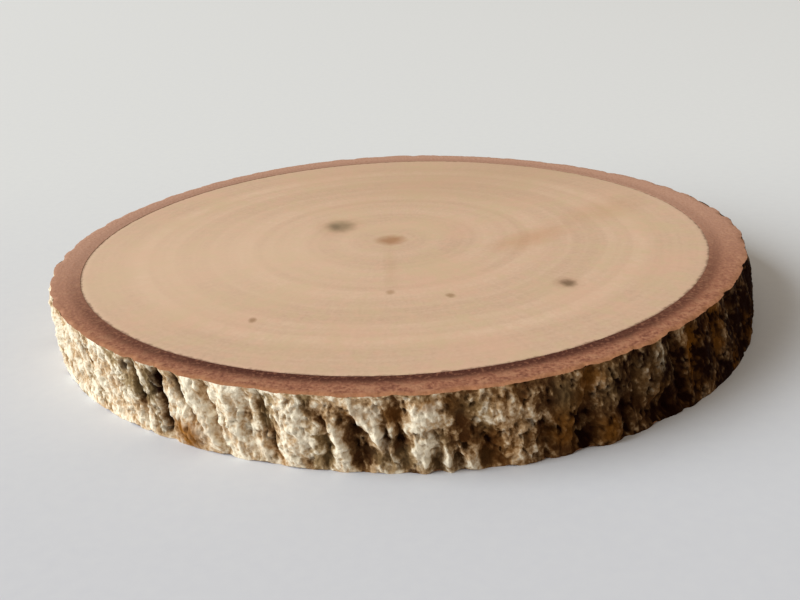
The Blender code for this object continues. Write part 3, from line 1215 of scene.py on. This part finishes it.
@dataclass(frozen=True)
class SawnBark(Finish):
    """Sawn inner bark: corky and matt, dark where it meets the wood and red-brown with pale fibres beyond.

    The dark layer's reach is in mm from the seam and the rim's in mm from the rim. Mottling and fibres
    move the dark layer's edge in and out by up to about 0.6 mm.
    """

    name: str = "sawn_bark"
    roughness: float = 0.85
    shine: float = 0.25
    relief: float = 0.4
    relief_depth: float = 0.25 * MM
    dark: str = "#451B0E"
    red: str = "#9A654C"
    fibre: str = "#BE8D6C"
    fleck: str = "#683A2C"
    rim: str = "#B27C54"
    faded: str = "#C29A84"
    fibre_pitch: float = 0.50 * MM
    mottle_pitch: float = 1.7 * MM
    fibre_shift: float = 1.3
    mottle_shift: float = 1.6
    dark_reach: Range = (0.85, 2.45)
    rim_reach: Range = (1.1, 0.1)
    side_strength: float = 0.17
    side_levels: Range = (0.55, 0.95)

    def surface(self, tree: Tree, place: Socket) -> tuple[Socket, Socket]:
        """Lays fibres, flecks, the brown rim and the dark layer over the red bark.

        Args:
            tree: The material's node tree.
            place: Where on the bark the surface is read.

        Returns:
            The colour and the relief's height.
        """
        seam, rim, front = (
            add_node(tree, "Attribute", {"attribute_name": name}).outputs["Fac"]
            for name in ("seam_distance", "rim_distance", "front_share")
        )
        fibres, mottle = (
            add_node(tree, "TexNoise", {}, {"Vector": place, "Scale": 1 / pitch, "Detail": 3}).outputs["Fac"]
            for pitch in (self.fibre_pitch, self.mottle_pitch)
        )
        seam = add_up(tree, seam, ((mottle, -self.mottle_shift), (fibres, -self.fibre_shift)))
        shift = NOISE_MEAN * (self.mottle_shift + self.fibre_shift)
        dark_reach = (self.dark_reach[1] - shift, self.dark_reach[0] - shift)
        low, high = self.side_levels
        inputs = {"Value": front, "From Min": low, "From Max": high, "To Min": self.side_strength}
        weaker = add_node(tree, "MapRange", {}, inputs).outputs[0]
        # What each tint follows, where it starts and is full, its share, and whether it weakens off the front
        layers = (
            (fibres, (0.50, 0.66), 0.60, self.fibre, False),
            (fibres, (0.48, 0.36), 0.60, self.fleck, True),
            (mottle, (0.52, 0.66), 0.40, self.fibre, False),
            (mottle, (0.48, 0.36), 0.35, self.fleck, True),
            (rim, self.rim_reach, 0.60, self.rim, True),
            (front, (0.85, 0.35), 0.75, self.faded, False),
            (seam, dark_reach, 0.92, self.dark, True),
            (fibres, (0.51, 0.67), 0.42, self.red, False),
        )
        colour: Any = linear(self.red)
        for value, reach, most, tint, weakens in layers:
            if weakens:
                most = add_node(tree, "Math", {"operation": "MULTIPLY"}, {0: weaker, 1: most}).outputs[0]
            colour = lay_tint(tree, colour, value, reach, most, tint)
        return colour, fibres


@dataclass(frozen=True)
class WeatheredBark(Finish):
    """Old bark with crustose lichen: dry, dull, grainy, brown in the furrows and cream under thick crust.

    Crust shows first on the crests of the grains and last between them. At the middle level, dark
    brown has turned halfway to brown. Furrows, hollows and gaps get near-black painted shade.
    """

    name: str = "weathered_bark"
    roughness: float = 0.92
    shine: float = 0.05
    relief: float = 0.8
    relief_depth: float = 0.2 * MM
    dark_brown: str = "#4E3019"
    brown: str = "#7E5D3A"
    tan: str = "#C0A07A"
    crust: str = "#F1E4CB"
    # Painted shade: the near black of furrows, hollows, gaps and the side away from the light
    painted_shade_colour: str = "#1B0802"
    amber: str = "#8E5918"
    moss: str = "#7A6B4A"
    speckle: float = 1.8
    speckle_pitch: float = 0.36 * MM
    tone: float = 1.7
    tone_pitch: float = 1.6 * MM
    crest: float = 1.0
    middle: float = 1.9

    def surface(self, tree: Tree, place: Socket) -> tuple[Socket, Socket]:
        """Lays brown, tan, moss, crust, amber and near-black painted shade over dark brown bark.

        Args:
            tree: The material's node tree.
            place: Where on the bark the surface is read.

        Returns:
            The colour and the relief's height.
        """
        crust, crest, painted_shade, amber, moss = (
            add_node(tree, "Attribute", {"attribute_name": coat.value}).outputs["Fac"]
            for coat in (Coat.CRUST, Coat.CREST, Coat.PAINTED_SHADE, Coat.AMBER, Coat.MOSS)
        )
        speckle, tone = (
            add_node(tree, "TexNoise", {}, {"Vector": place, "Scale": 1 / pitch, "Detail": 3}).outputs["Fac"]
            for pitch in (self.speckle_pitch, self.tone_pitch)
        )
        level = add_up(tree, crust, ((crest, self.crest), (speckle, self.speckle), (tone, self.tone)))
        # What each tint follows, where it starts and is full, and its share
        layers = (
            (level, (self.middle - 0.40, self.middle + 0.40), 1.0, self.brown),
            (level, (self.middle + 0.30, self.middle + 0.85), 1.0, self.tan),
            (moss, (0.0, 1.0), 0.6, self.moss),
            (level, (self.middle + 0.85, self.middle + 1.60), 1.0, self.crust),
            (amber, (0.0, 0.9), 0.92, self.amber),
            # Painted shade
            (painted_shade, (0.0, 1.0), 1.0, self.painted_shade_colour),
        )
        colour: Any = linear(self.dark_brown)
        for value, reach, most, tint in layers:
            colour = lay_tint(tree, colour, value, reach, most, tint, "LINEAR")
        return colour, speckle


@dataclass(frozen=True)
class MattPaper(Finish):
    """Plain pale matt paper, faintly mottled, with painted shade darkening it towards the viewer."""

    name: str = "matt_paper"
    roughness: float = 0.9
    shine: float = 0.15
    # Painted shade: the near colour darkens the sheet towards the viewer
    near: str = "#CCCED6"
    far: str = "#E1E3E4"
    reach: Range = (-0.11, 0.11)
    mottle: float = 0.25
    mottle_pitch: float = 1.6 * MM

    def surface(self, tree: Tree, place: Socket) -> tuple[Socket, Socket]:
        """Goes from the near colour, which is painted shade, to the far one, with mottling.

        Args:
            tree: The material's node tree.
            place: Where on the sheet the surface is read.

        Returns:
            The colour and the mottling.
        """
        inputs = {"Vector": place, "Scale": 1 / self.mottle_pitch, "Detail": 3.0}
        mottle = add_node(tree, "TexNoise", {}, inputs)
        away = add_node(tree, "SeparateXYZ", {}, {"Vector": place}).outputs["Y"]
        near, far = self.reach
        inputs = {"Value": away, "From Min": near, "From Max": far, "To Max": 1.0 - self.mottle}
        share = add_node(tree, "MapRange", {"interpolation_type": "SMOOTHSTEP"}, inputs).outputs[0]
        share = add_up(tree, share, ((mottle.outputs["Fac"], self.mottle),))
        colours = {6: linear(self.near), 7: linear(self.far)}
        colour = add_node(tree, "Mix", {"data_type": "RGBA"}, {0: share, **colours})
        return colour.outputs[2], mottle.outputs["Fac"]


@dataclass(frozen=True)
class SoftLight:
    """A square soft light that looks at the slice. Its bearing and elevation are in degrees."""

    name: str
    bearing: float
    elevation: float
    distance: float
    size: float
    power: float
    colour: str

    def build(self, target: Vector) -> bpy.types.Object:
        """Puts the light in the scene.

        Args:
            target: The point that it looks at.

        Returns:
            The light's object.
        """
        light = bpy.data.lights.new(self.name, "AREA")
        light.shape = "SQUARE"
        light.size = self.size
        light.energy = self.power
        light.color = linear(self.colour)[:3]
        lamp = bpy.data.objects.new(self.name, light)
        bpy.context.scene.collection.objects.link(lamp)
        turn, rise = math.radians(self.bearing), math.radians(self.elevation)
        way = Vector((math.cos(rise) * math.cos(turn), math.cos(rise) * math.sin(turn), math.sin(rise)))
        lamp.location = target + self.distance * way
        lamp.rotation_euler = (-way).to_track_quat("-Z", "Y").to_euler()
        return lamp


@dataclass(frozen=True)
class Studio:
    """The pale floor, the soft light and the camera at the photograph's viewing angle."""

    floor_size: float = 4.0
    floor_drop: float = 0.02 * MM
    target: tuple[float, float, float] = (-0.5 * MM, 0.15 * MM, 0.0)
    camera_distance: float = 158.5 * MM
    camera_elevation: float = 22.34
    camera_roll: float = -2.83
    focal_pixels: float = 1021.8
    image_width: int = 800
    sensor_width: float = 36.0
    clip_start: float = 1.0 * MM
    sky: str = "#F0E2CF"
    sky_strength: float = 0.50
    light: SoftLight = SoftLight("window_light", 190.0, 27.0, 6.0, 4.8, 556.0, "#F4FBFF")

    def build(self) -> None:
        """Builds the floor, the light, the sky and the camera."""
        target = Vector(self.target)
        self.build_floor()
        self.light.build(target)
        self.build_sky()
        self.build_camera(target)
        bpy.context.scene.view_settings.view_transform = "Standard"

    def build_floor(self) -> None:
        """Lays the pale sheet that the slice rests on."""
        plane = bmesh.new()
        bmesh.ops.create_grid(plane, x_segments=1, y_segments=1, size=self.floor_size / 2)
        mesh = bpy.data.meshes.new("floor")
        plane.to_mesh(mesh)
        plane.free()
        mesh.materials.append(MattPaper().build())
        floor = bpy.data.objects.new("floor", mesh)
        floor.location.z = -self.floor_drop
        bpy.context.scene.collection.objects.link(floor)

    def build_sky(self) -> None:
        """Lights the scene evenly from all round."""
        world = bpy.data.worlds.new("soft_sky")
        world.use_nodes = True
        tree = world.node_tree
        tree.nodes.clear()
        sky = add_node(tree, "Background", {}, {"Color": linear(self.sky), "Strength": self.sky_strength})
        add_node(tree, "OutputWorld", {}, {"Surface": sky.outputs[0]})
        bpy.context.scene.world = world

    def build_camera(self, target: Vector) -> None:
        """Sets up the camera, turned a little about its own axis as the photograph is.

        Args:
            target: The point that it looks at.
        """
        data = bpy.data.cameras.new("camera")
        data.sensor_fit = "HORIZONTAL"
        data.sensor_width = self.sensor_width
        data.lens = self.focal_pixels / self.image_width * self.sensor_width
        data.clip_start = self.clip_start
        camera = bpy.data.objects.new("camera", data)
        bpy.context.scene.collection.objects.link(camera)
        rise = math.radians(self.camera_elevation)
        back = Vector((0.0, -math.cos(rise), math.sin(rise)))
        turn = Matrix.Rotation(math.radians(self.camera_roll), 4, "Z")
        look = (-back).to_track_quat("-Z", "Y").to_matrix().to_4x4()
        camera.matrix_world = Matrix.Translation(target + self.camera_distance * back) @ look @ turn
        bpy.context.scene.camera = camera


def main() -> None:
    """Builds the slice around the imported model, and the studio about it."""
    logging.basicConfig(level=logging.INFO, format="%(name)s: %(message)s")
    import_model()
    shape = SliceShape()

    wood = WoodRound(shape).build(SandedEndGrain().build())
    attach(wood, "root")
    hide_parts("wood")
    log.info("%s: %d faces", wood.name, len(wood.data.polygons))

    sawn = SawnBark().build()
    weathered = WeatheredBark().build()
    relief = BarkRelief(shape)
    for name, start, turn in (("bark_front", -186.0, 192.0), ("bark_back", 6.0, 168.0)):
        arc = BarkArc(name, start, turn, shape, relief).build(sawn, weathered)
        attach(arc, "root")
        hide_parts("bark")
        log.info("%s: %d faces", arc.name, len(arc.data.polygons))

    Studio().build()


if __name__ == "__main__":
    main()
